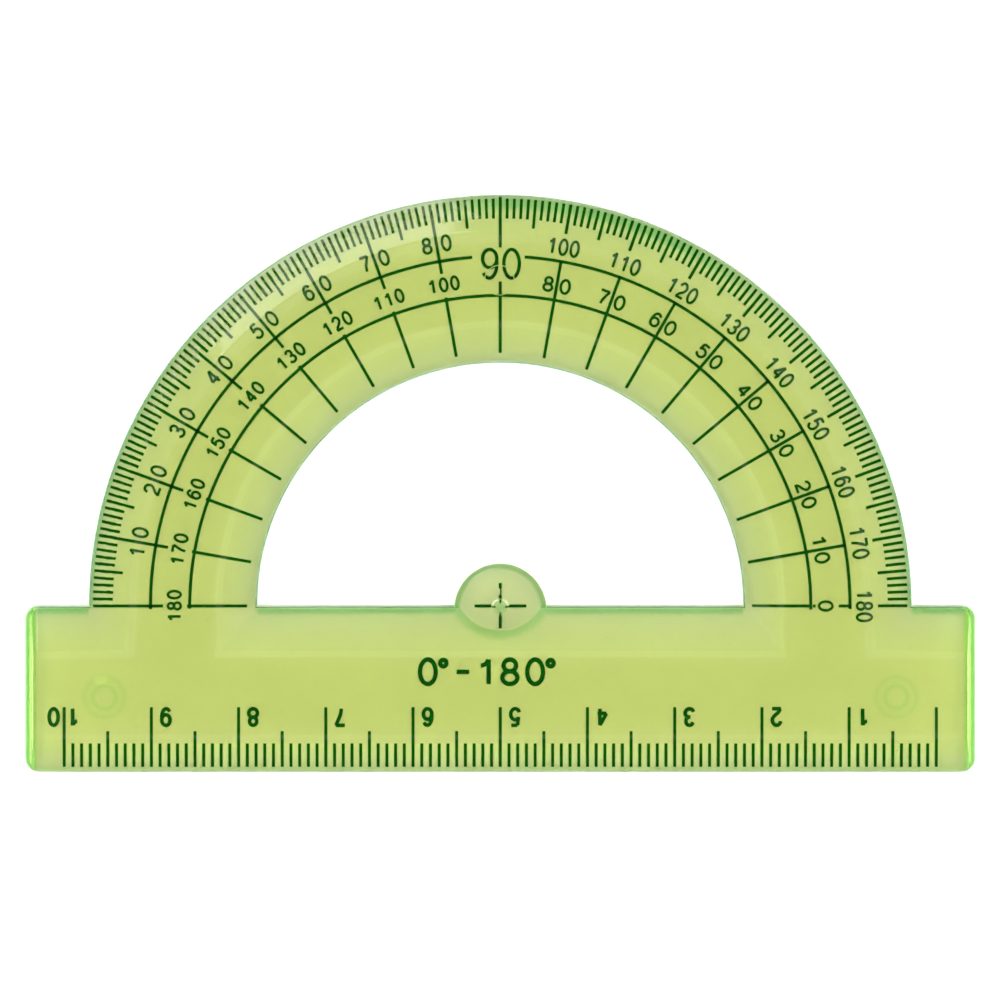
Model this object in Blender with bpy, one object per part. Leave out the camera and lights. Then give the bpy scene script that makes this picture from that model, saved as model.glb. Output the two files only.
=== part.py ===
"""A half-round drawing protractor with a ten-centimetre ruler along its base.

The plate is one clear moulding. It lies flat with its underside at z = 0 and the centre point of the
angle scale at the origin: +X runs along the ruler, +Y towards 90 degrees. The print is a thin layer
of ink on the underside, read through the plate. Each printed group is a film of its own in a shallow
pocket, so that the plate rests on plastic and not on ink. Angles run anticlockwise from +X.
"""

import math

import bmesh
import bpy

MM = 0.001

# The ruler bar. Its long edges are thinned for drawing along, and its ends have a short chamfer.
BAR_LENGTH = 109.0 * MM
BAR_TOP = 0.15 * MM
BAR_BOTTOM = -19.1 * MM
BAR_CORNER_RADIUS = 1.7 * MM
TOP_BEVEL = 5.75 * MM
BOTTOM_BEVEL = 3.85 * MM
END_BEVEL = 1.45 * MM

# The scale band, which is thinned at its two edges in the same way.
BAND_OUTER_RADIUS = 47.2 * MM
BAND_INNER_RADIUS = 27.85 * MM
BAND_OUTER_BEVEL = 4.9 * MM
BAND_INNER_BEVEL = 4.55 * MM
BAND_LEG = 6.2 * MM
BAND_STEPS = 72

PLATE_THICKNESS = 2.0 * MM
EDGE_THICKNESS = 1.3 * MM

# The thin disc round the centre point, with the hollow that runs from it into the bar's bevel.
BOSS_RADIUS = 5.33 * MM
BOSS_CENTRE_Y = -0.4 * MM
BOSS_THICKNESS = 1.35 * MM
BOSS_ROUND = 0.35 * MM
BOSS_HOLLOW_CENTRE_Y = 2.5 * MM
DIMPLE_CENTRE_Y = -0.25 * MM
DIMPLE_MOUTH_RADIUS = 0.8 * MM
DIMPLE_FLOOR_RADIUS = 0.35 * MM
DIMPLE_DEPTH = 0.4 * MM
ROUND_STEPS = 48

# The ink films and the pockets that hold them.
INK_THICKNESS = 0.03 * MM
INK_HEIGHT = 0.015 * MM
POCKET_DEPTH = 0.06 * MM
POCKET_MARGIN = 0.05 * MM
LINE_WIDTH = 0.34 * MM
STEP_DEGREES = 2.5

DEGREE_TICKS = (43.25 * MM, 46.80 * MM)
OUTER_NUMBERS_LEFT = (41.0 * MM, 43.0 * MM)
OUTER_NUMBERS_RIGHT = (40.65 * MM, 42.8 * MM)
INNER_NUMBERS_LEFT = (36.4 * MM, 38.35 * MM)
INNER_NUMBERS_RIGHT = (36.2 * MM, 38.3 * MM)
OUTER_LINE_RADIUS = 40.1 * MM
INNER_LINE_RADIUS = 35.6 * MM
RAY_INNER_RADIUS = 28.95 * MM
RAY_ANGLES = range(0, 181, 10)
LINE_OVERRUN = 0.5

NINETY_SIZE = (4.8 * MM, 3.8 * MM)
NINETY_CENTRE_Y = 39.25 * MM
CROSS_REACH = 2.95 * MM
CROSS_UPPER = (0.4 * MM, 2.65 * MM)
CROSS_LOWER = (-2.6 * MM, -0.85 * MM)
CROSS_GAP = 0.85 * MM

RULER_TICKS_X = (-50.2 * MM, 50.2 * MM)
RULER_TICKS_Y = (-18.4 * MM, -14.25 * MM)
RULER_NUMBERS_X = (-52.0 * MM, 42.2 * MM)
RULER_NUMBERS_Y = (-13.95 * MM, -11.45 * MM)
RANGE_MARK_X = (-9.9 * MM, 6.9 * MM)
RANGE_MARK_Y = (-9.4 * MM, -5.6 * MM)

PLATE_COLOUR = (0.55, 0.66, 0.17)
INK_COLOUR = (0.0, 0.06, 0.002)


def clear_scene():
    for obj in list(bpy.data.objects):
        bpy.data.objects.remove(obj)


def make_material(name, colour, roughness, alpha=1.0):
    material = bpy.data.materials.new(name)
    material.use_nodes = True
    shader = material.node_tree.nodes["Principled BSDF"]
    shader.inputs["Base Color"].default_value = (*colour, 1.0)
    shader.inputs["Roughness"].default_value = roughness
    shader.inputs["Metallic"].default_value = 0.0
    shader.inputs["Alpha"].default_value = alpha
    return material


def make_object(name, bm, material=None):
    """Turn the finished bmesh into an object with outward faces."""
    bmesh.ops.recalc_face_normals(bm, faces=bm.faces)
    mesh = bpy.data.meshes.new(name)
    bm.to_mesh(mesh)
    bm.free()
    obj = bpy.data.objects.new(name, mesh)
    bpy.context.scene.collection.objects.link(obj)
    if material:
        mesh.materials.append(material)
    return obj


def loft(bm, sections):
    """Join closed sections of equal point count with walls, and cap the first and the last."""
    rings = [[bm.verts.new(point) for point in section] for section in sections]
    for ring, following in zip(rings, rings[1:]):
        for i in range(len(ring)):
            j = (i + 1) % len(ring)
            bm.faces.new((ring[i], ring[j], following[j], following[i]))
    bm.faces.new(rings[0])
    bm.faces.new(rings[-1])


def raised(outline, z):
    return [(x, y, z) for x, y in outline]


def arc(centre, radius, start, end, steps):
    """Points along an arc, both ends included."""
    angles = [math.radians(start + (end - start) * i / steps) for i in range(steps + 1)]
    return [(centre[0] + radius * math.cos(a), centre[1] + radius * math.sin(a)) for a in angles]


def circle(centre, radius, steps=ROUND_STEPS):
    return arc(centre, radius, 0, 360, steps)[:-1]


def rounded_rectangle(x_range, y_range, radius, steps=4):
    (left, right), (low, high) = x_range, y_range
    corners = ((right, high, 0), (left, high, 90), (left, low, 180), (right, low, 270))
    outline = []
    for x, y, start in corners:
        centre = (x - math.copysign(radius, x), y - math.copysign(radius, y - (low + high) / 2))
        outline += arc(centre, radius, start, start + 90, steps)
    return outline


def make_bar():
    """The ruler bar: upright edges, then bevels that rise to the full thickness."""
    half = BAR_LENGTH / 2
    outline = rounded_rectangle((-half, half), (BAR_BOTTOM, BAR_TOP), BAR_CORNER_RADIUS)
    crown = rounded_rectangle(
        (-half + END_BEVEL, half - END_BEVEL),
        (BAR_BOTTOM + BOTTOM_BEVEL, BAR_TOP - TOP_BEVEL),
        BAR_CORNER_RADIUS,
    )
    bm = bmesh.new()
    loft(bm, [raised(outline, 0), raised(outline, EDGE_THICKNESS), raised(crown, PLATE_THICKNESS)])
    return make_object("bar", bm)


def make_band():
    """The half-round band: its section is swept round the centre, with a straight leg at each end."""
    profile = (
        (BAND_INNER_RADIUS, 0),
        (BAND_OUTER_RADIUS, 0),
        (BAND_OUTER_RADIUS, EDGE_THICKNESS),
        (BAND_OUTER_RADIUS - BAND_OUTER_BEVEL, PLATE_THICKNESS),
        (BAND_INNER_RADIUS + BAND_INNER_BEVEL, PLATE_THICKNESS),
        (BAND_INNER_RADIUS, EDGE_THICKNESS),
    )
    sections = [[(r, -BAND_LEG, z) for r, z in profile]]
    for i in range(BAND_STEPS + 1):
        angle = math.pi * i / BAND_STEPS
        sections.append([(r * math.cos(angle), r * math.sin(angle), z) for r, z in profile])
    sections.append([(-r, -BAND_LEG, z) for r, z in profile])
    bm = bmesh.new()
    loft(bm, sections)
    return make_object("band", bm)


def make_boss():
    centre = (0, BOSS_CENTRE_Y)
    rim = circle(centre, BOSS_RADIUS)
    bm = bmesh.new()
    loft(
        bm,
        [
            raised(rim, 0),
            raised(rim, BOSS_THICKNESS - BOSS_ROUND),
            raised(circle(centre, BOSS_RADIUS - BOSS_ROUND), BOSS_THICKNESS),
        ],
    )
    return make_object("boss", bm)


def make_boss_cutter():
    """The hollow that the mould leaves in the bar's bevel behind the boss."""
    above = 2 * PLATE_THICKNESS
    bm = bmesh.new()
    hollow = circle((0, BOSS_HOLLOW_CENTRE_Y), BOSS_RADIUS)
    loft(bm, [raised(hollow, BOSS_THICKNESS), raised(hollow, above)])
    return make_object("boss_hollow_cutter", bm)


def make_dimple_cutter():
    centre = (0, DIMPLE_CENTRE_Y)
    slope = (DIMPLE_MOUTH_RADIUS - DIMPLE_FLOOR_RADIUS) / DIMPLE_DEPTH
    rise = DIMPLE_DEPTH
    bm = bmesh.new()
    loft(
        bm,
        [
            raised(circle(centre, DIMPLE_FLOOR_RADIUS, 24), BOSS_THICKNESS - DIMPLE_DEPTH),
            raised(circle(centre, DIMPLE_MOUTH_RADIUS + slope * rise, 24), BOSS_THICKNESS + rise),
        ],
    )
    return make_object("dimple_cutter", bm)


def ring_sector(radii, start, end, margin):
    """Outline of a printed band between two radii and two angles, grown by margin."""
    inner, outer = radii[0] - margin, radii[1] + margin
    extra = math.degrees(margin / inner)
    steps = max(1, round((end - start) / STEP_DEGREES))
    return arc((0, 0), outer, start - extra, end + extra, steps) + arc(
        (0, 0), inner, end + extra, start - extra, steps
    )


def line_sector(radius, start, end, margin):
    return ring_sector((radius - LINE_WIDTH / 2, radius + LINE_WIDTH / 2), start, end, margin)


def rectangle(x_range, y_range, margin):
    left, right = x_range[0] - margin, x_range[1] + margin
    low, high = y_range[0] - margin, y_range[1] + margin
    return [(left, low), (right, low), (right, high), (left, high)]


def line_with_rays(margin):
    """The inner arc line with a ray towards the centre at each ten degrees, as one outline."""
    outer = INNER_LINE_RADIUS + LINE_WIDTH / 2 + margin
    inner = INNER_LINE_RADIUS - LINE_WIDTH / 2 - margin
    tip = RAY_INNER_RADIUS - margin
    half = LINE_WIDTH / 2 + margin
    end = LINE_OVERRUN + math.degrees(margin / inner)
    steps = round(180 / STEP_DEGREES)
    outline = arc((0, 0), outer, -end, 180 + end, steps)
    spread_in, spread_out = math.degrees(half / tip), math.degrees(half / inner)
    spacing = RAY_ANGLES.step
    for angle in reversed(RAY_ANGLES):
        first = 180 + end if angle == 180 else angle + spacing - spread_out
        outline += arc((0, 0), inner, first, angle + spread_out, 4)
        outline += arc((0, 0), tip, angle + spread_in, angle - spread_in, 1)
    outline += arc((0, 0), inner, -spread_out, -end, 1)
    return outline


def print_outlines(margin):
    """The outline of every printed group by name, grown by margin on all sides."""
    ninety_x = (-NINETY_SIZE[0] / 2, NINETY_SIZE[0] / 2)
    ninety_y = (NINETY_CENTRE_Y - NINETY_SIZE[1] / 2, NINETY_CENTRE_Y + NINETY_SIZE[1] / 2)
    stroke = (-LINE_WIDTH / 2, LINE_WIDTH / 2)
    return {
        "degree_ticks": ring_sector(DEGREE_TICKS, -0.5, 180.5, margin),
        "outer_numbers_left": ring_sector(OUTER_NUMBERS_LEFT, 96.5, 173.5, margin),
        "outer_numbers_right": ring_sector(OUTER_NUMBERS_RIGHT, -3.5, 83.5, margin),
        "ninety_mark": rectangle(ninety_x, ninety_y, margin),
        "outer_arc_line_left": line_sector(OUTER_LINE_RADIUS, 94.6, 180 + LINE_OVERRUN, margin),
        "outer_arc_line_right": line_sector(OUTER_LINE_RADIUS, -LINE_OVERRUN, 86.0, margin),
        "inner_numbers_left": ring_sector(INNER_NUMBERS_LEFT, 96.5, 183.5, margin),
        "inner_numbers_right": ring_sector(INNER_NUMBERS_RIGHT, -2.0, 83.5, margin),
        "inner_arc_line": line_with_rays(margin),
        "centre_mark_left": rectangle((-CROSS_REACH, -CROSS_GAP), stroke, margin),
        "centre_mark_right": rectangle((CROSS_GAP, CROSS_REACH), stroke, margin),
        "centre_mark_upper": rectangle(stroke, CROSS_UPPER, margin),
        "centre_mark_lower": rectangle(stroke, CROSS_LOWER, margin),
        "ruler_ticks": rectangle(RULER_TICKS_X, RULER_TICKS_Y, margin),
        "ruler_numbers": rectangle(RULER_NUMBERS_X, RULER_NUMBERS_Y, margin),
        "range_mark": rectangle(RANGE_MARK_X, RANGE_MARK_Y, margin),
    }


def make_pocket_cutter():
    bm = bmesh.new()
    for outline in print_outlines(POCKET_MARGIN).values():
        loft(bm, [raised(outline, -PLATE_THICKNESS), raised(outline, POCKET_DEPTH)])
    return make_object("print_pocket_cutter", bm)


def boolean(target, tool, operation):
    """Join or cut with another solid, which then stays in the file as a guide."""
    modifier = target.modifiers.new(tool.name, "BOOLEAN")
    modifier.operation = operation
    modifier.solver = "EXACT"
    modifier.object = tool
    tool.hide_render = True
    tool.display_type = "WIRE"


def make_plate():
    plate = make_bar()
    plate.name = "protractor_plate"
    plate.data.name = "protractor_plate"
    plate.data.materials.append(make_material("clear_yellow_green_plastic", PLATE_COLOUR, 0.08, 0.5))
    boolean(plate, make_band(), "UNION")
    boolean(plate, make_boss(), "UNION")
    boolean(plate, make_boss_cutter(), "DIFFERENCE")
    boolean(plate, make_dimple_cutter(), "DIFFERENCE")
    boolean(plate, make_pocket_cutter(), "DIFFERENCE")
    return plate


def make_print():
    for name, outline in print_outlines(0).items():
        bm = bmesh.new()
        loft(bm, [raised(outline, INK_HEIGHT), raised(outline, INK_HEIGHT + INK_THICKNESS)])
        make_object(name, bm, make_material(f"{name}_ink", INK_COLOUR, 0.45))


clear_scene()
make_plate()
make_print()
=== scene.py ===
import math

import bmesh
import bpy
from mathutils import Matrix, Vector
from mathutils.geometry import tessellate_polygon


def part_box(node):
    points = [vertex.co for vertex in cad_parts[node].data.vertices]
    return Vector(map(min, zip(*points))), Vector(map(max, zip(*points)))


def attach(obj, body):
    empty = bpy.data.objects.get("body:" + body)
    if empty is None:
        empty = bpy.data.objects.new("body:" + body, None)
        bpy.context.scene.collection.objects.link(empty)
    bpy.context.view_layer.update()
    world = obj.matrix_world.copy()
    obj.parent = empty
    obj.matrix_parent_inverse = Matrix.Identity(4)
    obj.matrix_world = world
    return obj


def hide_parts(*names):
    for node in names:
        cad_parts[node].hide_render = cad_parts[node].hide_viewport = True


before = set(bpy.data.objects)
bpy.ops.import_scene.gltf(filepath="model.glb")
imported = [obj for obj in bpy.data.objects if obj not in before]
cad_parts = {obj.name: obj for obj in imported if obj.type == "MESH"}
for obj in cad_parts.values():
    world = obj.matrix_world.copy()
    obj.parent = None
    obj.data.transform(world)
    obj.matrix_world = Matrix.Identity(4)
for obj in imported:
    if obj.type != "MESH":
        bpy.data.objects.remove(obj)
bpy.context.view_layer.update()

mm = 0.001
plate_low, plate_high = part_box("protractor_plate")


# ------------------------------------------------------------------ the moulded plate
# One clear yellow-green polystyrene moulding: a ruler bar and a half-round scale band, thinned towards
# every edge, round a D-shaped window. The edges keep the small rounds and the draft of the mould.

bar_half_length = plate_high[0]
bar_top = 0.15 * mm
bar_foot = plate_low[1]
band_outer_radius = plate_high[1]
band_inner_radius = 27.85 * mm
band_start_angle = 0.6
corner_radius = 1.7 * mm
sharpest_corner = 0.5 * mm
edge_thickness = 1.3 * mm
window_edge_thickness = 1.36 * mm
full_thickness = plate_high[2]

# In from the outline come a thin lip at the mould's parting line, a steep wall up to the bevel, the
# bevel, and a soft ridge where it runs into the flat. The bevel's width is out to the ridge's middle.
lips = {"rim": 0.15 * mm, "inner": 0.12 * mm, "top": 0.25 * mm, "foot": 0.15 * mm, "end": 0.5 * mm}
walls = {"rim": 0.1 * mm, "inner": 0.1 * mm, "top": 0.15 * mm, "foot": 0.1 * mm, "end": 0.3 * mm}
bevels = {"rim": 4.9 * mm, "inner": 4.55 * mm, "top": 5.75 * mm, "foot": 3.85 * mm, "end": 1.45 * mm}
ridges = {"rim": 0.9 * mm, "inner": 0.85 * mm, "top": 0.8 * mm, "foot": 0.65 * mm, "end": 0.45 * mm}
ridge_drop = 0.12 * mm

# The lip and the wall, as shares of the two widths and of the edge's thickness.
wall_points = [
    (0.35, 0.0, 0.00), (0.11, 0.0, 0.03), (0.00, 0.0, 0.10), (0.00, 0.0, 0.20), (0.05, 0.0, 0.25),
    (0.16, 0.0, 0.28), (1.00, 0.0, 0.31), (1.00, 0.1, 0.36), (1.00, 0.8, 0.97), (1.00, 1.0, 1.00),
]


def edge_profile(edge_height):
    """The moulded edge from the underside up to the flat, as (lips, walls, bevels, ridges, height)."""
    points = [(lip, wall, 0, 0, edge_height * height) for lip, wall, height in wall_points]
    for i in range(13):
        across = -1 + 2 * i / 12
        points.append((0, 0, 1, across, full_thickness - ridge_drop * (1 - across) ** 2 / 4))
    return points


def inset(edge, level):
    lip, wall, bevel, ridge, _ = level
    return lip * lips[edge] + wall * walls[edge] + bevel * bevels[edge] + ridge * ridges[edge]


def arc(centre, radius, start, end, steps):
    angles = [math.radians(start + (end - start) * i / steps) for i in range(steps + 1)]
    return [Vector((centre[0] + radius * math.cos(a), centre[1] + radius * math.sin(a), 0)) for a in angles]


def leg_point(radius, top, side):
    """Where a curved edge of the band, carried on straight below the centre line, meets the bar's edge."""
    return Vector((side * math.sqrt(radius ** 2 - max(top, 0) ** 2), top, 0))


def outer_loop(level):
    """The outline of the plate at one level: over the scale band and round the ruler bar."""
    radius = band_outer_radius - inset("rim", level)
    top = bar_top - inset("top", level)
    foot = bar_foot + inset("foot", level)
    side = bar_half_length - inset("end", level)
    corner = max(corner_radius - inset("end", level), sharpest_corner)
    loop = [leg_point(radius, top, 1)]
    loop += arc((0, 0), radius, band_start_angle, 180 - band_start_angle, 360)
    loop.append(leg_point(radius, top, -1))
    loop += arc((corner - side, top - corner), corner, 90, 180, 12)
    loop += arc((corner - side, foot + corner), corner, 180, 270, 12)
    loop += arc((side - corner, foot + corner), corner, 270, 360, 12)
    loop += arc((side - corner, top - corner), corner, 0, 90, 12)
    return loop


def window_loop(level):
    """The outline of the D-shaped window at one level."""
    radius = band_inner_radius + inset("inner", level)
    top = bar_top - inset("top", level)
    sweep = arc((0, 0), radius, band_start_angle, 180 - band_start_angle, 240)
    return [leg_point(radius, top, 1)] + sweep + [leg_point(radius, top, -1)]


def skin(bm, make_loop, edge_height):
    """The moulded wall along one outline, from the underside up to the flat. Returns its end rings."""
    rings = []
    for level in edge_profile(edge_height):
        rings.append([bm.verts.new((p.x, p.y, level[-1])) for p in make_loop(level)])
    for ring, above in zip(rings, rings[1:]):
        for i in range(len(ring)):
            j = (i + 1) % len(ring)
            bm.faces.new((ring[i], ring[j], above[j], above[i]))
    return rings[0], rings[-1]


def fill(bm, outline, hole):
    """The flat between an outline and the hole in it."""
    corners = outline + hole
    for triangle in tessellate_polygon([[v.co for v in outline], [v.co for v in hole]]):
        bm.faces.new([corners[i] for i in triangle])


def new_piece(name, bm):
    mesh = bpy.data.meshes.new(name)
    bm.to_mesh(mesh)
    bm.free()
    piece = bpy.data.objects.new(name, mesh)
    bpy.context.scene.collection.objects.link(piece)
    return piece


bm = bmesh.new()
outer_low, outer_high = skin(bm, outer_loop, edge_thickness)
window_low, window_high = skin(bm, window_loop, window_edge_thickness)
fill(bm, outer_low, window_low)
fill(bm, outer_high, window_high)
bmesh.ops.recalc_face_normals(bm, faces=bm.faces)
plate = new_piece("moulded_plate", bm)

# The boss round the centre point is a thin disc, and the bevel is hollowed where the disc runs into it.
boss_radius = 5.33 * mm
boss_centre = (0, -0.4 * mm)
boss_thickness = 1.35 * mm
hollow_centre = (0, 2.5 * mm)
hollow_radius = 5.15 * mm
hollow_reach = 2.2 * mm
hollow_rise = 0.76 * mm


def turned(name, centre, profile, steps=128, hollow=False):
    """A solid turned round a vertical axis from (radius, z) points, with or without an open middle."""
    bm = bmesh.new()
    rings = []
    for radius, z in profile:
        ring = arc(centre, radius, 0, 360, steps)[:-1]
        rings.append([bm.verts.new((p.x, p.y, z)) for p in ring])
    following = rings[1:] + rings[:1] if hollow else rings[1:]
    for ring, above in zip(rings, following):
        for i in range(steps):
            j = (i + 1) % steps
            bm.faces.new((ring[i], ring[j], above[j], above[i]))
    if not hollow:
        bm.faces.new(rings[0])
        bm.faces.new(rings[-1])
    bmesh.ops.recalc_face_normals(bm, faces=bm.faces)
    return new_piece(name, bm)


def cut_or_join(target, tool, operation):
    """Apply a Boolean and drop the tool."""
    modifier = target.modifiers.new("mould", "BOOLEAN")
    modifier.operation = operation
    modifier.solver = "EXACT"
    modifier.object = tool
    depsgraph = bpy.context.evaluated_depsgraph_get()
    result = bpy.data.meshes.new_from_object(target.evaluated_get(depsgraph))
    target.modifiers.clear()
    target.data = result
    bpy.data.objects.remove(tool)


# The disc's edge: how far each point lies in from the rim, and its height.
boss_edge = [
    (0.12, 0.00), (0.00, 0.12), (0.00, 0.90), (0.03, 1.08), (0.10, 1.17), (0.35, 1.245), (0.60, 1.30),
    (0.85, 1.34), (1.05, 1.35),
]
boss = turned("boss", boss_centre, [(boss_radius - inward * mm, z * mm) for inward, z in boss_edge])
cut_or_join(plate, boss, "UNION")
hollow_steps = [i / 10 for i in range(11)]
hollow = turned(
    "hollow",
    hollow_centre,
    [(hollow_radius + hollow_reach * t, boss_thickness + hollow_rise * t ** 1.1) for t in hollow_steps],
)
cut_or_join(plate, hollow, "DIFFERENCE")
dimple = turned(
    "dimple",
    (0, -0.25 * mm),
    [(0.3 * mm, boss_thickness - 0.45 * mm), (0.55 * mm, boss_thickness - 0.36 * mm),
     (0.8 * mm, boss_thickness), (1.0 * mm, boss_thickness + 0.3 * mm)],
    48,
)
cut_or_join(plate, dimple, "DIFFERENCE")
# A burr stands round the far side of the dimple and runs out at its near side.
burr = turned(
    "burr",
    (0, -0.2 * mm),
    [(0.82 * mm, -0.05 * mm), (0.86 * mm, 0.0), (0.96 * mm, 0.045 * mm), (1.06 * mm, 0.0),
     (1.12 * mm, -0.05 * mm)],
    48,
    True,
)
for vertex in burr.data.vertices:
    vertex.co.z += boss_thickness + vertex.co.y * 0.03
cut_or_join(plate, burr, "UNION")

# Ejector pins leave round marks on the underside: two shallow steps, or one for the smaller pin.
large_pin = [(2.5 * mm, -0.02 * mm), (2.25 * mm, 0.03 * mm), (1.45 * mm, 0.035 * mm), (1.2 * mm, 0.09 * mm)]
small_pin = [(1.84 * mm, -0.02 * mm), (1.6 * mm, 0.05 * mm)]
pin_marks = [
    ((-45.4 * mm, -10.3 * mm), large_pin), ((45.3 * mm, -10.6 * mm), large_pin), ((0, 37.3 * mm), small_pin),
]
for centre, profile in pin_marks:
    cut_or_join(plate, turned("pin_mark", centre, profile, 64), "DIFFERENCE")

plate.data.shade_smooth()
plate.data.set_sharp_from_angle(angle=math.radians(35))
weighted = plate.modifiers.new("flat shading", "WEIGHTED_NORMAL")
weighted.keep_sharp = True
weighted.weight = 100
depsgraph = bpy.context.evaluated_depsgraph_get()
finished = bpy.data.meshes.new_from_object(plate.evaluated_get(depsgraph))
plate.modifiers.clear()
plate.data = finished


def feed(tree, socket, value):
    """Give a socket a value, or link another node's output to it."""
    if isinstance(value, (int, float, tuple)):
        socket.default_value = value
    else:
        tree.links.new(value, socket)


def math_node(tree, operation, *values):
    node = tree.nodes.new("ShaderNodeMath")
    node.operation = operation
    for socket, value in zip(node.inputs, values):
        feed(tree, socket, value)
    return node.outputs[0]


def combine_node(tree, *values):
    """A place or a size from its x, y and z."""
    node = tree.nodes.new("ShaderNodeCombineXYZ")
    for socket, value in zip(node.inputs, values):
        feed(tree, socket, value)
    return node.outputs[0]


def ramp_node(tree, value, stops, interpolation="LINEAR"):
    """Colours, or shares as greys, by a value from 0 to 1."""
    node = tree.nodes.new("ShaderNodeValToRGB")
    node.color_ramp.interpolation = interpolation
    tree.links.new(value, node.inputs[0])
    elements = node.color_ramp.elements
    while len(elements) < len(stops):
        elements.new(0.5)
    for element, (position, level) in zip(elements, stops):
        element.position = position
        element.color = level if isinstance(level, tuple) else (level, level, level, 1)
    return node.outputs[0]


def range_node(tree, value, given, wanted=(0, 1), interpolation="LINEAR"):
    """A value carried over from one range to another."""
    node = tree.nodes.new("ShaderNodeMapRange")
    node.interpolation_type = interpolation
    tree.links.new(value, node.inputs["Value"])
    for name, limit in zip(("From Min", "From Max", "To Min", "To Max"), (*given, *wanted)):
        node.inputs[name].default_value = limit
    return node.outputs[0]


def mix_node(tree, factor, a, b, blend="MIX"):
    """Two colours mixed by a factor."""
    node = tree.nodes.new("ShaderNodeMix")
    node.data_type = "RGBA"
    node.blend_type = blend
    for name, value in (("Factor", factor), ("A", a), ("B", b)):
        feed(tree, node.inputs[name], value)
    return node.outputs["Result"]


def noise_node(tree, place, scale, detail):
    node = tree.nodes.new("ShaderNodeTexNoise")
    tree.links.new(place, node.inputs["Vector"])
    node.inputs["Scale"].default_value = scale
    node.inputs["Detail"].default_value = detail
    return node.outputs[0]


def stretched(tree, place, angle, scale):
    """The place, turned in the plate's plane and scaled, to draw a noise out into streaks."""
    node = tree.nodes.new("ShaderNodeMapping")
    node.inputs["Rotation"].default_value = (0, 0, math.radians(angle))
    node.inputs["Scale"].default_value = scale
    tree.links.new(place, node.inputs["Vector"])
    return node.outputs[0]


def bump_node(tree, height, strength, distance, under=None):
    """Relief on the bare surface, or on top of other relief."""
    node = tree.nodes.new("ShaderNodeBump")
    tree.links.new(height, node.inputs["Height"])
    feed(tree, node.inputs["Strength"], strength)
    node.inputs["Distance"].default_value = distance
    if under is not None:
        tree.links.new(under, node.inputs["Normal"])
    return node.outputs[0]


def far_from(tree, place, centre, reach):
    """How far a place lies from a point, as a share of reach."""
    node = tree.nodes.new("ShaderNodeVectorMath")
    node.operation = "DISTANCE"
    tree.links.new(place, node.inputs[0])
    node.inputs[1].default_value = centre
    return math_node(tree, "DIVIDE", node.outputs["Value"], reach)


clear = bpy.data.materials.new("clear_yellow_green_polystyrene")
clear.use_nodes = True
resin = clear.node_tree
nodes, links = resin.nodes, resin.links
shader = nodes["Principled BSDF"]
shader.inputs["IOR"].default_value = 1.58
shader.inputs["Transmission Weight"].default_value = 1

# Light that runs along inside the plate leaves at its edges, so the lip and the wall above it look greener
# than the faces: the tint goes by height over the underside.
place = nodes.new("ShaderNodeTexCoord").outputs["Object"]
split = nodes.new("ShaderNodeSeparateXYZ")
links.new(place, split.inputs[0])
x, y, height = split.outputs
face_tint = (0.812, 0.820, 0.934, 1)
bevel_tint = (0.790, 0.820, 0.934, 1)
lip_tint = (0.60, 0.79, 0.70, 1)
wall_tint = (0.36, 0.66, 0.50, 1)
tints = [
    (0.050, face_tint), (0.055, lip_tint), (0.21, lip_tint), (0.24, wall_tint), (0.46, wall_tint),
    (0.54, lip_tint), (0.585, lip_tint), (0.61, wall_tint), (0.64, wall_tint), (0.673, face_tint),
    (0.70, bevel_tint), (0.94, bevel_tint), (1.0, face_tint),
]
tint = ramp_node(resin, math_node(resin, "DIVIDE", height, full_thickness), tints)
# The ruling edge is paler than the other edges: a painted light band along it takes the place of the edge
# tint.
ruling_edge = range_node(resin, y, (bar_foot + 0.6 * mm, bar_foot + 0.9 * mm))
pale = mix_node(resin, ruling_edge, (0.74, 0.84, 0.80, 1), tint)

# The gaps between the close ticks, round the band and along the ruler, are painted lighter, against the
# shade that the ink casts on the paper below.
scale_reach = 50 * mm
flat_place = combine_node(resin, x, y)
sideways = math_node(resin, "ABSOLUTE", x)
radius = far_from(resin, flat_place, (0, 0, 0), scale_reach)
on_band = math_node(resin, "GREATER_THAN", y, bar_top)
ring_gaps = ramp_node(resin, radius, [(0.884, 0), (0.892, 1), (0.926, 1), (0.934, 0)])
ring_gaps = math_node(resin, "MULTIPLY", ring_gaps, on_band)
down_bar = math_node(resin, "DIVIDE", y, -20 * mm)
row_gaps = ramp_node(resin, down_bar, [(0.775, 0), (0.79, 1), (0.912, 1), (0.922, 0)])
beside_marks = math_node(resin, "LESS_THAN", sideways, 50.3 * mm)
row_gaps = math_node(resin, "MULTIPLY", row_gaps, beside_marks)
gaps = math_node(resin, "MAXIMUM", ring_gaps, row_gaps)
tick_gaps_painted_lighter = mix_node(resin, gaps, pale, (0.86, 0.88, 0.97, 1))

# A painted green shade follows the edges: along the bar's free top edge, round the rim and the window, over
# the tips of the ticks right of the top, in the hollow behind the boss, and faintly round the two large pin
# marks.
round_stops = [(0.53, 0), (0.55, 1), (0.559, 1), (0.566, 0), (0.932, 0), (0.938, 1)]
round_edges = ramp_node(resin, radius, round_stops)
up_band = math_node(resin, "DIVIDE", y, scale_reach)
low_on_band = ramp_node(resin, up_band, [(0.0, 0), (0.003, 1), (0.45, 1), (0.9, 0.25)])
round_edges = math_node(resin, "MULTIPLY", round_edges, low_on_band)
tick_tips = ramp_node(resin, radius, [(0.905, 0), (0.918, 1), (0.930, 1), (0.937, 0)])
along = math_node(resin, "DIVIDE", math_node(resin, "ADD", x, 10 * mm), scale_reach)
right_of_top = ramp_node(resin, along, [(0.05, 0), (0.2, 1), (0.6, 1), (0.85, 0)])
tick_tips = math_node(resin, "MULTIPLY", tick_tips, right_of_top)
tick_tips = math_node(resin, "MULTIPLY", tick_tips, on_band)
below_top = math_node(resin, "SUBTRACT", bar_top, y)
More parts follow.
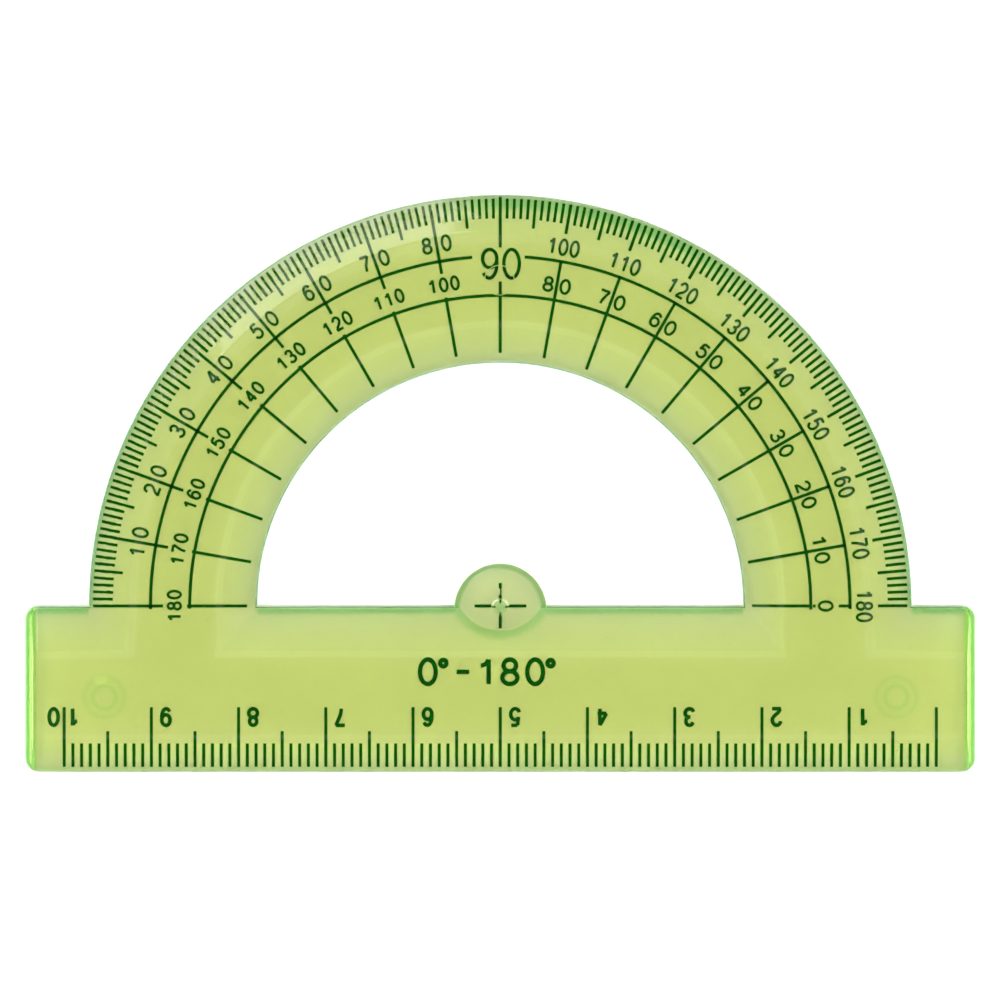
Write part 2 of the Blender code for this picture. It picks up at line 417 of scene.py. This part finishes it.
below_top = math_node(resin, "DIVIDE", below_top, 2 * mm)
top_edge = ramp_node(resin, below_top, [(0.1, 0), (0.21, 1), (0.33, 1), (0.7, 0)], "EASE")
free_stops = [(0.098, 0), (0.104, 1), (0.556, 1), (0.558, 0), (0.943, 0), (0.945, 1)]
free_edge = ramp_node(resin, radius, free_stops)
top_edge = math_node(resin, "MULTIPLY", top_edge, free_edge)
from_hollow = far_from(resin, flat_place, (*hollow_centre, 0), 10 * mm)
hollow_edge = ramp_node(resin, from_hollow, [(0.525, 0), (0.55, 0.8), (0.58, 0.7), (0.67, 0)], "EASE")
folded_place = combine_node(resin, sideways, y)
from_pin = far_from(resin, folded_place, (45.35 * mm, -10.45 * mm, 0), 4 * mm)
pin_stops = [(0.22, 0), (0.32, 0.42), (0.43, 0.05), (0.47, 0.05), (0.58, 0.28), (0.69, 0)]
pin_edges = ramp_node(resin, from_pin, pin_stops, "EASE")
painted_shade_mask = round_edges
for shaded_place in (top_edge, tick_tips, hollow_edge, pin_edges):
    painted_shade_mask = math_node(resin, "MAXIMUM", painted_shade_mask, shaded_place)
# The painted shade darkens the colour towards green over these places.
painted_edge_shade = mix_node(resin, painted_shade_mask, tick_gaps_painted_lighter, (0.66, 0.92, 0.74, 1), "MULTIPLY")

# The end walls slope the most and glow the brightest, and mirror little white light.
glow_span = (bar_half_length - 1.6 * mm, bar_half_length - 0.95 * mm)
end_glow = range_node(resin, sideways, glow_span, interpolation="SMOOTHSTEP")
glowing = mix_node(resin, end_glow, painted_edge_shade, (0.52, 0.83, 0.46, 1))
mirrored = mix_node(resin, end_glow, (1, 1, 1, 1), (0.12, 0.3, 0.06, 1))
links.new(mirrored, shader.inputs["Specular Tint"])

# The resin is not quite even: slow streaks where it flowed, and a rare speck of dust.
streak = noise_node(resin, stretched(resin, place, -35, (70, 260, 70)), 1, 3)
evenness = range_node(resin, streak, (0.3, 0.7), (0.985, 1.0))
speck = nodes.new("ShaderNodeTexVoronoi")
speck.voronoi_dimensions = "2D"
links.new(place, speck.inputs["Vector"])
speck.inputs["Scale"].default_value = 240
near_speck = math_node(resin, "LESS_THAN", speck.outputs["Distance"], 0.028)
which = nodes.new("ShaderNodeSeparateColor")
links.new(speck.outputs["Color"], which.inputs[0])
chosen = math_node(resin, "GREATER_THAN", which.outputs[0], 0.9)
dust = math_node(resin, "MULTIPLY", near_speck, chosen)
clarity = math_node(resin, "MULTIPLY_ADD", dust, -0.12, evenness)
links.new(mix_node(resin, 1, glowing, clarity, "MULTIPLY"), shader.inputs["Base Color"])

# Handling leaves the gloss a little uneven, with fine scratches, and the mould leaves a slow waviness.
gloss = range_node(resin, noise_node(resin, place, 300, 4), (0, 1), (0.01, 0.06))
links.new(gloss, shader.inputs["Roughness"])
scratch = noise_node(resin, stretched(resin, place, 32, (60, 2600, 60)), 1, 2)
scratches = bump_node(resin, scratch, 0.15, 0.002 * mm)
waviness = bump_node(resin, noise_node(resin, place, 90, 2), 0.5, 0.02 * mm, scratches)
# The rim's bevel is uneven left of the top, where it breaks up the light that it mirrors.
left_of_top = ramp_node(resin, along, [(0.0, 1), (0.25, 0)])
rippled = math_node(resin, "MULTIPLY", left_of_top, ring_gaps)
ripple = bump_node(resin, noise_node(resin, place, 650, 3), rippled, 0.12 * mm, waviness)
links.new(ripple, shader.inputs["Normal"])

absorption = nodes.new("ShaderNodeVolumeAbsorption")
absorption.inputs["Color"].default_value = (0.909, 0.976, 0.024, 1)
absorption.inputs["Density"].default_value = 330
links.new(absorption.outputs["Volume"], nodes["Material Output"].inputs["Volume"])
plate.data.materials.clear()
plate.data.materials.append(clear)
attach(plate, "root")
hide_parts("protractor_plate")


# ------------------------------------------------------------------ the degree ticks
# The 181 degree marks, longer at every fifth and tenth degree. They are dark green ink, printed on the
# underside with the rest of the scales and read through the clear plastic.

ink = bpy.data.materials.new("dark_green_ink")
ink.use_nodes = True
shader = ink.node_tree.nodes["Principled BSDF"]
shader.inputs["Base Color"].default_value = (0.0, 0.072, 0.0005, 1)
shader.inputs["Roughness"].default_value = 0.6
shader.inputs["Specular IOR Level"].default_value = 0.0

ink_low = 0.015 * mm
ink_thickness = 0.03 * mm
line_width = 0.34 * mm


def new_tree(name, inputs):
    """An empty tree that takes a geometry and the given numbers. Returns it and what it is given."""
    tree = bpy.data.node_groups.new(name, "GeometryNodeTree")
    tree.interface.new_socket("Geometry", in_out="INPUT", socket_type="NodeSocketGeometry")
    for title, value in inputs.items():
        kind = "NodeSocketInt" if isinstance(value, int) else "NodeSocketFloat"
        tree.interface.new_socket(title, in_out="INPUT", socket_type=kind).default_value = value
    tree.interface.new_socket("Geometry", in_out="OUTPUT", socket_type="NodeSocketGeometry")
    return tree, tree.nodes.new("NodeGroupInput").outputs


def finish_tree(tree, geometry, material):
    """Every tree ends in Realize Instances and Set Material."""
    nodes, links = tree.nodes, tree.links
    real = nodes.new("GeometryNodeRealizeInstances")
    paint = nodes.new("GeometryNodeSetMaterial")
    paint.inputs["Material"].default_value = material
    out = nodes.new("NodeGroupOutput")
    links.new(geometry, real.inputs[0])
    links.new(real.outputs[0], paint.inputs[0])
    links.new(paint.outputs[0], out.inputs[0])


def lay_bars(tree, given, index, place, wide, deep):
    """Thin ink bars at numbered places, leaving out those that a coarser mark covers."""
    nodes, links = tree.nodes, tree.links
    points = nodes.new("GeometryNodePoints")
    links.new(given["Count"], points.inputs["Count"])
    links.new(place, points.inputs["Position"])
    bar = nodes.new("GeometryNodeMeshCube")
    links.new(combine_node(tree, wide, deep, ink_thickness), bar.inputs["Size"])
    bars = nodes.new("GeometryNodeInstanceOnPoints")
    links.new(points.outputs[0], bars.inputs["Points"])
    links.new(bar.outputs["Mesh"], bars.inputs["Instance"])
    # A mark stays unless its number divides by the coarser step.
    every = math_node(tree, "MAXIMUM", given["Leave out every"], 1)
    left_over = math_node(tree, "MODULO", index, every)
    plain = math_node(tree, "LESS_THAN", given["Leave out every"], 1)
    keep = math_node(tree, "GREATER_THAN", math_node(tree, "ADD", left_over, plain), 0.5)
    links.new(keep, bars.inputs["Selection"])
    return bars


def tick_ring_tree():
    """Ink bars set round an arc at equal angles."""
    tree, given = new_tree("ticks round an arc", {
        "First angle": 0.0, "Angle step": 1.0, "Count": 181, "Leave out every": 0,
        "Inner radius": 43 * mm, "Outer radius": 46 * mm, "Width": line_width,
    })
    index = tree.nodes.new("GeometryNodeInputIndex").outputs[0]
    turn = math_node(tree, "MULTIPLY_ADD", index, given["Angle step"], given["First angle"])
    radians = math_node(tree, "RADIANS", turn)
    both_radii = math_node(tree, "ADD", given["Inner radius"], given["Outer radius"])
    middle = math_node(tree, "MULTIPLY", both_radii, 0.5)
    across = math_node(tree, "MULTIPLY", math_node(tree, "COSINE", radians), middle)
    up = math_node(tree, "MULTIPLY", math_node(tree, "SINE", radians), middle)
    place = combine_node(tree, across, up, ink_low + ink_thickness / 2)
    length = math_node(tree, "SUBTRACT", given["Outer radius"], given["Inner radius"])
    bars = lay_bars(tree, given, index, place, length, given["Width"])
    tree.links.new(combine_node(tree, 0, 0, radians), bars.inputs["Rotation"])
    finish_tree(tree, bars.outputs[0], ink)
    return tree


def run_tree(tree, source=None, **values):
    """The plain mesh that a tree makes. Values are given by the input's name with underscores."""
    if source is None:
        source = bpy.data.objects.new("source", bpy.data.meshes.new("source"))
        bpy.context.scene.collection.objects.link(source)
    modifier = source.modifiers.new("ink", "NODES")
    modifier.node_group = tree
    identifiers = {
        item.name: item.identifier for item in tree.interface.items_tree if item.in_out == "INPUT"
    }
    for name, value in values.items():
        modifier[identifiers[name.replace("_", " ")]] = value
    depsgraph = bpy.context.evaluated_depsgraph_get()
    mesh = bpy.data.meshes.new_from_object(source.evaluated_get(depsgraph))
    bpy.data.objects.remove(source)
    return mesh


def ink_piece(name, meshes, cad_node):
    """One printed piece from several plain meshes, run together where they cross."""
    bm = bmesh.new()
    for mesh in meshes:
        bm.from_mesh(mesh)
    bmesh.ops.recalc_face_normals(bm, faces=bm.faces)
    piece = new_piece(name, bm)
    melt = piece.modifiers.new("melt", "BOOLEAN")
    melt.operand_type = "COLLECTION"
    melt.solver = "EXACT"
    melt.operation = "UNION"
    melt.use_self = True
    depsgraph = bpy.context.evaluated_depsgraph_get()
    piece.data = bpy.data.meshes.new_from_object(piece.evaluated_get(depsgraph))
    piece.modifiers.clear()
    piece.data.materials.clear()
    piece.data.materials.append(ink)
    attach(piece, "root")
    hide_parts(cad_node)
    return piece


tick_outer = 46.65 * mm
slim = 0.32 * mm
ring = tick_ring_tree()
degree_marks = [
    run_tree(ring, Leave_out_every=5, Inner_radius=44.33 * mm, Outer_radius=tick_outer, Width=slim),
    run_tree(
        ring, First_angle=5.0, Angle_step=10.0, Count=18,
        Inner_radius=43.33 * mm, Outer_radius=tick_outer, Width=slim,
    ),
    run_tree(ring, Angle_step=10.0, Count=9, Inner_radius=43.2 * mm, Outer_radius=tick_outer),
    run_tree(ring, First_angle=90.0, Count=1, Inner_radius=41.1 * mm, Outer_radius=46.83 * mm),
    run_tree(
        ring, First_angle=100.0, Angle_step=10.0, Count=9,
        Inner_radius=38.67 * mm, Outer_radius=tick_outer,
    ),
]
ink_piece("degree_tick_marks", degree_marks, "degree_ticks")


# ------------------------------------------------------------------ the arc lines and rays
# A fine line runs round the band below each row of numbers, with a ray towards the centre at every ten
# degrees. They are the same printed ink. The outer line stops either side of the large 90, and the rim
# of the small ejector pin breaks the inner one.


def stroke_tree():
    """A flat ink stroke swept along each spline."""
    tree, given = new_tree("ink stroke along a line", {"Width": line_width})
    nodes, links = tree.nodes, tree.links
    upright = nodes.new("GeometryNodeSetCurveNormal")
    upright.mode = "Z_UP"
    section = nodes.new("GeometryNodeCurvePrimitiveQuadrilateral")
    section.mode = "RECTANGLE"
    links.new(given["Width"], section.inputs["Width"])
    section.inputs["Height"].default_value = ink_thickness
    sweep = nodes.new("GeometryNodeCurveToMesh")
    sweep.inputs["Fill Caps"].default_value = True
    links.new(given["Geometry"], upright.inputs["Curve"])
    links.new(upright.outputs[0], sweep.inputs["Curve"])
    links.new(section.outputs[0], sweep.inputs["Profile Curve"])
    finish_tree(tree, sweep.outputs[0], ink)
    return tree


stroke = stroke_tree()


def strokes_mesh(lines, width):
    """Ink along flat lines, each a list of (x, y) points. A line that ends where it starts is closed."""
    curve = bpy.data.curves.new("strokes", "CURVE")
    curve.dimensions = "3D"
    for line in lines:
        closed = (Vector(line[0][:2]) - Vector(line[-1][:2])).length < 0.001 * mm
        points = line[:-1] if closed else line
        spline = curve.splines.new("POLY")
        spline.points.add(len(points) - 1)
        for point, place in zip(spline.points, points):
            point.co = (place[0], place[1], ink_low + ink_thickness / 2, 1)
        spline.use_cyclic_u = closed
    source = bpy.data.objects.new("source", curve)
    bpy.context.scene.collection.objects.link(source)
    return run_tree(stroke, source, Width=width)


outer_line = 40.1 * mm
inner_line = 35.6 * mm
ink_piece(
    "outer_arc_line_left_print",
    [strokes_mesh([arc((0, 0), outer_line, 94.6, 180.5, 180)], line_width)],
    "outer_arc_line_left",
)
ink_piece(
    "outer_arc_line_right_print",
    [strokes_mesh([arc((0, 0), outer_line, -0.5, 86, 180)], line_width)],
    "outer_arc_line_right",
)
inner_marks = [
    strokes_mesh([arc((0, 0), inner_line, -0.6, 180.5, 360)], line_width),
    run_tree(
        ring, First_angle=10.0, Angle_step=10.0, Count=8,
        Inner_radius=28.93 * mm, Outer_radius=40.2 * mm,
    ),
    run_tree(ring, First_angle=90.0, Count=1, Inner_radius=29.1 * mm, Outer_radius=37.2 * mm),
    run_tree(
        ring, First_angle=100.0, Angle_step=10.0, Count=9,
        Inner_radius=29.1 * mm, Outer_radius=35.9 * mm,
    ),
    run_tree(ring, Count=1, Inner_radius=28.9 * mm, Outer_radius=35.5 * mm),
    run_tree(ring, Count=1, Inner_radius=38.8 * mm, Outer_radius=40.2 * mm),
    run_tree(ring, Count=1, Inner_radius=35.85 * mm, Outer_radius=36.15 * mm),
]


def break_at_pin(piece):
    """Take the ink away along the rim of the small ejector pin's mark, which it doesn't cover."""
    rim = [(1.64 * mm, -0.1 * mm), (1.76 * mm, -0.1 * mm), (1.76 * mm, 0.1 * mm), (1.64 * mm, 0.1 * mm)]
    cut_or_join(piece, turned("pin_rim", (-0.1 * mm, 37.35 * mm), rim, 64, True), "DIFFERENCE")


break_at_pin(ink_piece("inner_arc_line_and_rays", inner_marks, "inner_arc_line"))


# ------------------------------------------------------------------ the numbers
# Two rows of numbers round the band, one for each way of reading it, and a large 90 at the top. They are
# printed with the ticks in the same ink: plain narrow figures of an even stroke, feet to the centre.


def bow(cx, cy, rx, ry, start, end, steps=20):
    """Points along part of an oval, in a figure's own box."""
    angles = [math.radians(start + (end - start) * i / steps) for i in range(steps + 1)]
    return [(cx + rx * math.cos(a), cy + ry * math.sin(a)) for a in angles]


def figure(digit):
    """The strokes of a figure in a box one wide and one high."""
    if digit == "0":
        return [bow(0.5, 0.5, 0.5, 0.5, 0, 360, 36)]
    if digit == "1":
        return [[(0.62, 0), (0.62, 1)], bow(0.12, 1.05, 0.48, 0.29, -90, -10, 8)]
    if digit == "2":
        return [
            bow(0.5, 0.69, 0.46, 0.31, 170, -20, 18) + [(0.72, 0.42), (0.3, 0.22), (0.06, 0.0)],
            [(0, 0), (1, 0)],
        ]
    if digit == "3":
        return [
            bow(0.48, 0.75, 0.40, 0.25, 165, -90, 18) + [(0.38, 0.5)],
            bow(0.48, 0.26, 0.48, 0.26, 78, -165, 20),
        ]
    if digit == "4":
        return [[(0.74, 0), (0.74, 1)], [(0.74, 1), (0.0, 0.28)], [(0, 0.28), (1, 0.28)]]
    if digit == "5":
        return [
            [(0.9, 1), (0.2, 1)],
            [(0.2, 1), (0.09, 0.49)],
            bow(0.46, 0.33, 0.5, 0.33, 140, -160, 24),
        ]
    if digit == "6":
        return [
            bow(0.5, 0.32, 0.46, 0.32, 0, 360, 30),
            bow(0.53, 0.5, 0.49, 0.5, 190, 40, 20),
        ]
    if digit == "7":
        return [[(0, 1), (1, 1)], [(1, 1), (0.72, 0.66), (0.48, 0.33), (0.38, 0)]]
    if digit == "-":
        return [[(0, 0.5), (0.8, 0.5)]]
    if digit == "o":
        return [bow(0.4, 0.85, 0.2, 0.13, 0, 360, 20)]
    if digit == "8":
        return [bow(0.5, 0.76, 0.40, 0.24, 0, 360, 30), bow(0.5, 0.26, 0.48, 0.26, 0, 360, 30)]
    return [[(1 - x, 1 - y) for x, y in line] for line in figure("6")]


def number_lines(text, foot, angle, spread, size, stroke_width):
    """The strokes of a number: foot is its middle point, spread the figures' centres along the line."""
    width, tall = size[0] - stroke_width, size[1] - stroke_width
    along = Vector((math.cos(math.radians(angle)), math.sin(math.radians(angle))))
    up = Vector((-along.y, along.x))
    lines = []
    for digit, shift in zip(text, spread):
        for line in figure(digit):
            points = []
            for x, y in line:
                place = foot + along * (shift + (x - 0.5) * width) + up * (stroke_width / 2 + y * tall)
                points.append((place.x, place.y))
            lines.append(points)
    return lines


def scale_numbers(numbers, radius, size, spreads, stroke_width):
    """Numbers round the band, each given with its angle."""
    lines = []
    for text, angle in numbers:
        direction = Vector((math.cos(math.radians(angle)), math.sin(math.radians(angle))))
        lines += number_lines(text, direction * radius, angle - 90, spreads[len(text)], size, stroke_width)
    return strokes_mesh(lines, stroke_width)


fine = 0.29 * mm
bold = 0.38 * mm
centred = {1: (0,), 2: (-0.75 * mm, 0.75 * mm), 3: (-1.3 * mm, 0, 1.3 * mm)}

outer_left = [(str(n), 180 - n) for n in range(10, 90, 10)]
outer_right = [(str(n), 180 - n) for n in range(100, 190, 10)]
inner_left = [(str(n), n) for n in range(100, 190, 10)]
inner_right = [(str(n), n) for n in range(0, 90, 10)]

straddle_outer = {2: (-1.12 * mm, 1.12 * mm)}
straddle_inner = {1: (0,), 2: (-0.98 * mm, 0.98 * mm)}
ink_piece(
    "outer_numbers_left_print",
    [scale_numbers(outer_left, 41.1 * mm, (1.23 * mm, 1.9 * mm), straddle_outer, fine)],
    "outer_numbers_left",
)
ink_piece(
    "outer_numbers_right_print",
    [scale_numbers(outer_right, 40.75 * mm, (1.15 * mm, 1.95 * mm), centred, fine)],
    "outer_numbers_right",
)
ink_piece(
    "inner_numbers_left_print",
    [scale_numbers(inner_left, 36.5 * mm, (1.1 * mm, 1.75 * mm), centred, fine)],
    "inner_numbers_left",
)
ink_piece(
    "inner_numbers_right_print",
    [scale_numbers(inner_right, 36.4 * mm, (1.3 * mm, 1.83 * mm), straddle_inner, fine)],
    "inner_numbers_right",
)
ninety_foot = Vector((0, 37.4 * mm))
ninety = number_lines("90", ninety_foot, 0, (-1.21 * mm, 1.3 * mm), (2.15 * mm, 3.67 * mm), bold)
break_at_pin(ink_piece("ninety_print", [strokes_mesh(ninety, bold)], "ninety_mark"))


# ------------------------------------------------------------------ the centre mark
# Four short strokes point at the centre, which itself is left clear. They are printed with the scales in
# the same ink, and the upper one is partly worn away.

centre_strokes = {
    "left": [((-2.95 * mm, 0), (-0.9 * mm, 0))],
    "right": [((0.8 * mm, 0), (3.0 * mm, 0))],
    "upper": [((0, 0.4 * mm), (0, 1.25 * mm)), ((0, 2.0 * mm), (0, 2.65 * mm))],
    "lower": [((0, -2.58 * mm), (0, -0.85 * mm))],
}
worn_stroke = ((0.05 * mm, 1.2 * mm), (0.08 * mm, 1.6 * mm), (0.03 * mm, 2.05 * mm))
for side, lines in centre_strokes.items():
    meshes = [strokes_mesh(lines, line_width)]
    if side == "upper":
        meshes.append(strokes_mesh([worn_stroke], 0.14 * mm))
    ink_piece(f"centre_stroke_{side}", meshes, f"centre_mark_{side}")


# ------------------------------------------------------------------ the ruler
# Ten centimetres of millimetre ticks along the lower edge of the bar, with numbers that are read from the
# other side, and the range of the angle scale in the bar's middle. All of it is the same printed ink.


def tick_row_tree():
    """Ink bars in a row along the ruler."""
    tree, given = new_tree("ticks in a row", {
        "First place": -50 * mm, "Spacing": 1 * mm, "Count": 101, "Leave out every": 0,
        "Foot": -18 * mm, "Head": -15 * mm, "Width": line_width,
    })
    index = tree.nodes.new("GeometryNodeInputIndex").outputs[0]
    along = math_node(tree, "MULTIPLY_ADD", index, given["Spacing"], given["First place"])
    both_ends = math_node(tree, "ADD", given["Foot"], given["Head"])
    middle = math_node(tree, "MULTIPLY", both_ends, 0.5)
    place = combine_node(tree, along, middle, ink_low + ink_thickness / 2)
    length = math_node(tree, "SUBTRACT", given["Head"], given["Foot"])
    bars = lay_bars(tree, given, index, place, given["Width"], length)
    finish_tree(tree, bars.outputs[0], ink)
    return tree


row = tick_row_tree()
ruler_foot = -18.35 * mm
ruler_marks = [
    run_tree(row, Leave_out_every=5, Foot=ruler_foot, Head=-15.65 * mm),
    run_tree(row, First_place=-45 * mm, Spacing=10 * mm, Count=10, Foot=ruler_foot, Head=-14.35 * mm),
    run_tree(row, First_place=-50 * mm, Spacing=10 * mm, Count=11, Foot=ruler_foot, Head=-11.6 * mm),
]
ink_piece("ruler_tick_marks", ruler_marks, "ruler_ticks")

heavy = 0.42 * mm
ruler_lines = []
for n in range(1, 11):
    place = (5 - n) * 10 * mm
    text, spread = str(n), (-1.67 * mm,)
    if n == 10:
        spread = (-1.1 * mm, 1.2 * mm)
    foot = Vector((place, -11.57 * mm))
    ruler_lines += number_lines(text, foot, 180, spread, (1.45 * mm, 2.32 * mm), heavy)
ink_piece("ruler_numbers_print", [strokes_mesh(ruler_lines, heavy)], "ruler_numbers")

# The range of the scale stands in the middle of the bar: nought to 180 degrees.
label = (("0", -8.3), ("o", -6.35), ("-", -4.1), ("1", -1.55), ("8", 1.1), ("0", 4.0), ("o", 5.95))
label_foot = Vector((0, -9.2 * mm))
label_width = 0.5 * mm
label_lines = []
for sign, place in label:
    label_lines += number_lines(sign, label_foot, 0, (place * mm,), (2.3 * mm, 3.3 * mm), label_width)
ink_piece("range_mark_print", [strokes_mesh(label_lines, label_width)], "range_mark")


# ------------------------------------------------------------------ floor, light and camera
# The plate lies on a wide sheet of white paper. The sky over it is a white dome, bright low down and with
# a faint ring near the top. A softbox stands up and to the left, and the camera looks straight down.

floor_mesh = bpy.data.meshes.new("floor")
reach = 3.0
floor_mesh.from_pydata(
    [(-reach, -reach, 0), (reach, -reach, 0), (reach, reach, 0), (-reach, reach, 0)], [], [(0, 1, 2, 3)]
)
floor = bpy.data.objects.new("floor", floor_mesh)
floor.location.z = -0.03 * mm
bpy.context.scene.collection.objects.link(floor)
paper = bpy.data.materials.new("white_paper")
paper.use_nodes = True
shader = paper.node_tree.nodes["Principled BSDF"]
shader.inputs["Base Color"].default_value = (0.9, 0.9, 0.9, 1)
shader.inputs["Roughness"].default_value = 1.0
shader.inputs["Specular IOR Level"].default_value = 0.0
floor_mesh.materials.append(paper)

world = bpy.data.worlds.new("studio")
bpy.context.scene.world = world
world.use_nodes = True
nodes, links = world.node_tree.nodes, world.node_tree.links
background = nodes["Background"]
direction = nodes.new("ShaderNodeTexCoord")
split = nodes.new("ShaderNodeSeparateXYZ")
links.new(direction.outputs["Generated"], split.inputs[0])
tilt = math_node(world.node_tree, "ARCCOSINE", split.outputs[2])
quarter = math_node(world.node_tree, "DIVIDE", tilt, math.pi / 2)
# How bright the dome is, by degrees from straight up.
steps = [(2.8, 0.01), (5.5, 0.14), (7, 0.10), (9, 0.10), (10.5, 0.14), (12.5, 0.01), (42, 0.01), (58, 1.0)]
sky = ramp_node(world.node_tree, quarter, [(degrees / 90, level) for degrees, level in steps])
links.new(sky, background.inputs["Color"])
background.inputs["Strength"].default_value = 6.95

# A softbox to the upper left is mirrored by the band's bevel.
softbox_height = 0.85
softbox_reach = 0.315
softbox_side = math.radians(118)
softbox_radiance = 2.7
softbox_data = bpy.data.lights.new("softbox", "AREA")
softbox_data.shape = "RECTANGLE"
softbox_data.size = 0.12
softbox_data.size_y = 0.24
softbox_data.energy = softbox_radiance * math.pi * softbox_data.size * softbox_data.size_y
softbox = bpy.data.objects.new("softbox", softbox_data)
bpy.context.scene.collection.objects.link(softbox)
softbox.rotation_euler = (0, -math.atan2(softbox_reach, softbox_height), softbox_side + math.pi)
softbox.location = (
    softbox_reach * math.cos(softbox_side), softbox_reach * math.sin(softbox_side), softbox_height
)

camera_data = bpy.data.cameras.new("camera")
camera_data.lens = 314
camera_data.sensor_width = 36
camera = bpy.data.objects.new("camera", camera_data)
bpy.context.scene.collection.objects.link(camera)
view_width = 114.73 * mm
distance = view_width * camera_data.lens / camera_data.sensor_width
camera.location = (-0.03 * mm, 12.15 * mm, distance)
bpy.context.scene.camera = camera
bpy.context.scene.view_settings.view_transform = "Standard"
